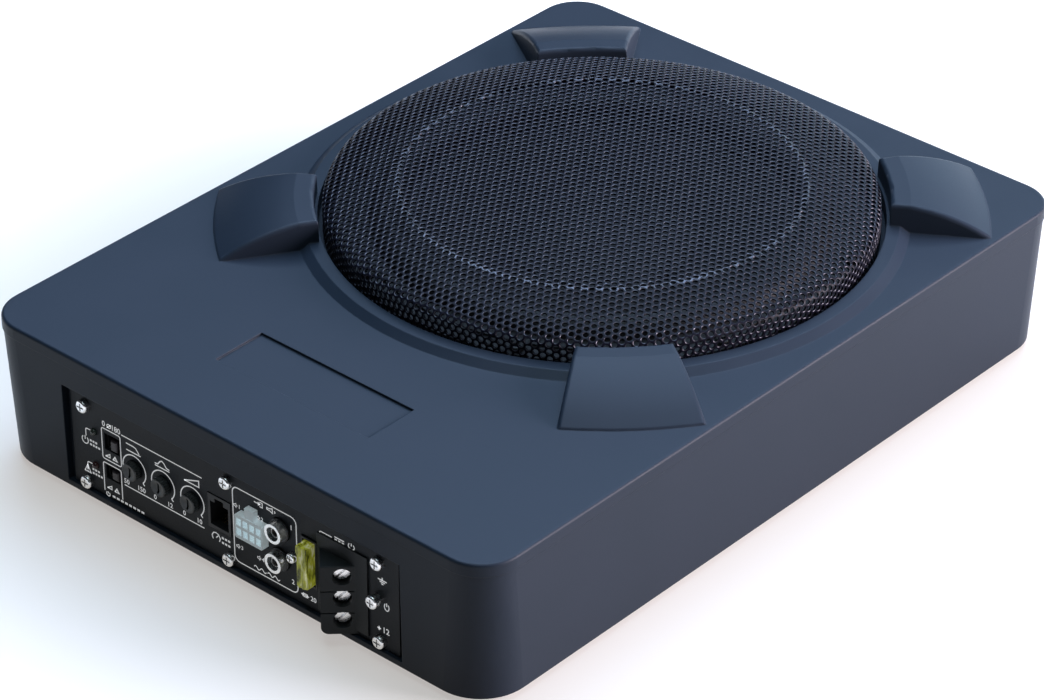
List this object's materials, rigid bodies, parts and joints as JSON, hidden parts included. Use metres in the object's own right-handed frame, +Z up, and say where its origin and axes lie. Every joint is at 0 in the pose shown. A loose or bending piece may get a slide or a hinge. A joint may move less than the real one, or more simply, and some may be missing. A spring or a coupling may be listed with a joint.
{
  "type": "powered car subwoofer",
  "caption": "Low rectangular powered subwoofer with a round domed grille held by claws, and a recessed control and socket panel in one end.",
  "frame": {"origin": "under the middle of the whole object, on the surface its feet stand on", "axes": "+Z up, X along the body with the control panel facing -X, Y across it"},
  "size_m": [0.3518, 0.2598, 0.0818],
  "materials": {
    "shell_plastic": "fine satin texture, slate blue-grey",
    "plate_steel": "powder coated",
    "screw_steel": "zinc plated",
    "screw_black": "blackened",
    "seal_foam": "closed-cell foam",
    "foot_rubber": "matte",
    "grille_steel": "perforated steel, satin black",
    "basket_steel": "black paint",
    "surround_rubber": "satin",
    "cone_pulp": "pressed fibre, dyed black",
    "cone_cap": "pressed fibre, dyed black",
    "coil_former": "foil",
    "coil_wire": "enamelled copper wire",
    "spider_cloth": "treated cotton",
    "motor_steel": "zinc plated",
    "magnet_ferrite": "sintered ferrite",
    "strip_board": "fibre board",
    "contact_brass": "bright",
    "contact_tin": "tin plated",
    "lead_red": "soft insulation",
    "lead_black": "soft insulation",
    "connector_white": "nylon",
    "board_glass_epoxy": "green solder mask",
    "capacitor_sleeve": "shrink sleeve",
    "toroid_wire": "enamelled copper winding",
    "sink_aluminium": "extruded",
    "part_black": "moulded",
    "panel_paint": "satin black paint with white print",
    "knob_plastic": "moulded",
    "slider_plastic": "moulded",
    "led_green": "tinted clear",
    "led_red": "tinted clear",
    "connector_blue": "natural nylon, faintly blue",
    "jack_nickel": "nickel plated",
    "jack_insulator": "moulded",
    "fuse_yellow": "tinted clear",
    "block_plastic": "moulded"
  },
  "bodies": {
    "root": {"top_shell": "shell_plastic", "bottom_plate": "plate_steel", "bottom_plate_screws": "screw_steel", "bottom_gasket": "seal_foam", "rubber_feet": "foot_rubber", "woofer_grille": "grille_steel", "woofer_basket": "basket_steel", "woofer_gasket": "seal_foam", "woofer_screws": "screw_black", "woofer_surround": "surround_rubber", "spider": "spider_cloth", "woofer_front_plate": "motor_steel", "woofer_magnet": "magnet_ferrite", "woofer_pole_plate": "motor_steel", "woofer_terminal_strip": "strip_board", "woofer_terminal_tabs": "contact_brass", "speaker_lead_positive": "lead_red", "speaker_lead_negative": "lead_black", "output_connector": "connector_white", "amplifier_board": "board_glass_epoxy", "board_standoffs": "contact_brass", "board_screws": "screw_steel", "filter_capacitors": "capacitor_sleeve", "power_toroid": "toroid_wire", "heat_sink": "sink_aluminium", "power_transistors": "part_black", "control_panel": "panel_paint", "panel_screws": "screw_steel", "phono_jack_screw": "screw_steel", "terminal_block_screw": "screw_steel", "potentiometers": "part_black", "phase_switch_body": "part_black", "power_switch_body": "part_black", "power_led": "led_green", "protect_led": "led_red", "remote_socket": "part_black", "remote_socket_contacts": "contact_brass", "speaker_input_socket": "connector_blue", "speaker_input_pins": "contact_tin", "phono_jack_body": "part_black", "phono_jack_sleeves": "jack_nickel", "phono_jack_insulators": "jack_insulator", "phono_jack_contacts": "contact_tin", "fuse_holder": "part_black", "terminal_block": "block_plastic", "terminal_clamps": "contact_brass"},
    "cone": {"woofer_cone": "cone_pulp", "dust_cap": "cone_cap", "voice_coil_former": "coil_former", "voice_coil_winding": "coil_wire"},
    "crossover_knob_body": {"crossover_knob": "knob_plastic"},
    "bass_knob_body": {"bass_knob": "knob_plastic"},
    "gain_knob_body": {"gain_knob": "knob_plastic"},
    "phase_slider": {"phase_switch_slider": "slider_plastic"},
    "power_slider": {"power_switch_slider": "slider_plastic"},
    "fuse": {"blade_fuse": "fuse_yellow", "fuse_blades": "contact_tin"},
    "ground_screw": {"clamp_screw_ground": "screw_steel"},
    "remote_screw": {"clamp_screw_remote": "screw_steel"},
    "supply_screw": {"clamp_screw_supply": "screw_steel"}
  },
  "joints": [
    {"name": "cone_travel", "type": "slide", "parent": "root", "child": "cone", "axis": [0, 0, 1], "range_m": [-0.006, 0.006], "stiffness_N_per_m": 2500, "deforming": ["woofer_surround", "spider"]},
    {"name": "crossover_turn", "type": "hinge", "parent": "root", "child": "crossover_knob_body", "pos_m": [-0.1665, 0.0519, 0.0256], "axis": [-1, 0, 0], "range_deg": [-135, 135]},
    {"name": "bass_turn", "type": "hinge", "parent": "root", "child": "bass_knob_body", "pos_m": [-0.1665, 0.0364, 0.0256], "axis": [-1, 0, 0], "range_deg": [-135, 135]},
    {"name": "gain_turn", "type": "hinge", "parent": "root", "child": "gain_knob_body", "pos_m": [-0.1665, 0.0207, 0.0256], "axis": [-1, 0, 0], "range_deg": [-135, 135]},
    {"name": "phase_switch_slide", "type": "slide", "parent": "root", "child": "phase_slider", "axis": [0, 1, 0], "range_m": [0, 0.0032]},
    {"name": "power_switch_slide", "type": "slide", "parent": "root", "child": "power_slider", "axis": [0, 1, 0], "range_m": [0, 0.0032]},
    {"name": "fuse_pull", "type": "slide", "parent": "root", "child": "fuse", "axis": [-1, 0, 0], "range_m": [0, 0.016]},
    {"name": "ground_clamp_travel", "type": "slide", "parent": "root", "child": "ground_screw", "axis": [-0.7071, -0.7071, 0], "range_m": [0, 0.003]},
    {"name": "remote_clamp_travel", "type": "slide", "parent": "root", "child": "remote_screw", "axis": [-0.7071, -0.7071, 0], "range_m": [0, 0.003]},
    {"name": "supply_clamp_travel", "type": "slide", "parent": "root", "child": "supply_screw", "axis": [-0.7071, -0.7071, 0], "range_m": [0, 0.003]}
  ]
}
